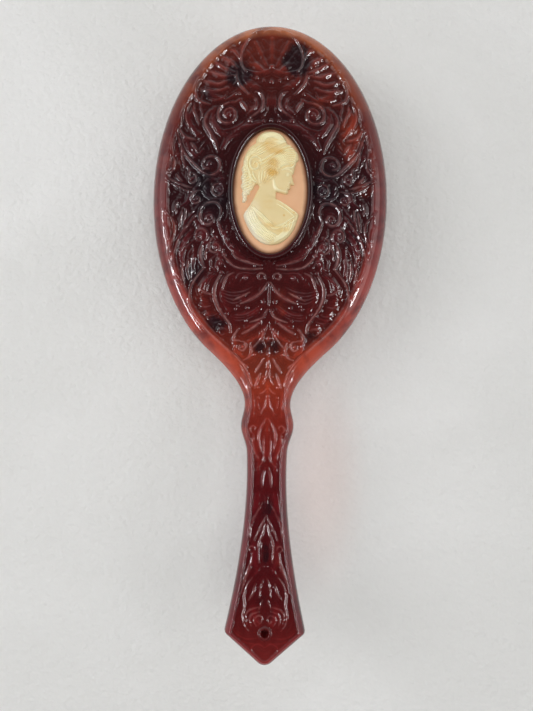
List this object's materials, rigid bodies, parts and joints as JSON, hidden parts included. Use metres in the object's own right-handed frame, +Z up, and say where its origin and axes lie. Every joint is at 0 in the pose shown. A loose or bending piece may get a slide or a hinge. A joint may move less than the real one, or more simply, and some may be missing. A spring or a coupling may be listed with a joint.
{
  "type": "vanity hairbrush",
  "caption": "Oval-backed vanity hairbrush with a scrolled translucent plastic back and swept handle, a cameo in a raised setting, and a wire-drawn plate of nylon tufts.",
  "frame": {"origin": "cut end of the middle tuft, under the centre of the oval head, on the surface that the brush stands on", "axes": "+Y from the handle towards the top of the head, +Z up through the ornamental back, +X to the right seen from above with the head at the top"},
  "size_m": [0.0846, 0.2219, 0.0389],
  "materials": {
    "tortoiseshell_plastic": "polished translucent plastic, dark red-brown mottled with amber",
    "coral_plastic": "satin coral pink",
    "ivory_plastic": "satin ivory, yellowed in the hollows",
    "bristle_nylon": "clear to cream nylon filament",
    "amber_plastic": "polished amber-red plastic",
    "draw_wire": "drawn brass wire"
  },
  "bodies": {
    "root": {"back_and_handle": "tortoiseshell_plastic", "cameo_ground": "coral_plastic", "cameo_bust": "ivory_plastic", "bristle_plate": "amber_plastic", "bristle_row_01": "bristle_nylon", "bristle_row_02": "bristle_nylon", "bristle_row_03": "bristle_nylon", "bristle_row_04": "bristle_nylon", "bristle_row_05": "bristle_nylon", "bristle_row_06": "bristle_nylon", "bristle_row_07": "bristle_nylon", "bristle_row_08": "bristle_nylon", "bristle_row_09": "bristle_nylon", "bristle_row_10": "bristle_nylon", "bristle_row_11": "bristle_nylon", "bristle_row_12": "bristle_nylon", "bristle_row_13": "bristle_nylon", "bristle_row_14": "bristle_nylon", "bristle_row_15": "bristle_nylon", "draw_wire_01": "draw_wire", "draw_wire_02": "draw_wire", "draw_wire_03": "draw_wire", "draw_wire_04": "draw_wire", "draw_wire_05": "draw_wire", "draw_wire_06": "draw_wire", "draw_wire_07": "draw_wire", "draw_wire_08": "draw_wire", "draw_wire_09": "draw_wire", "draw_wire_10": "draw_wire", "draw_wire_11": "draw_wire", "draw_wire_12": "draw_wire", "draw_wire_13": "draw_wire", "draw_wire_14": "draw_wire", "draw_wire_15": "draw_wire"}
  },
  "joints": []
}
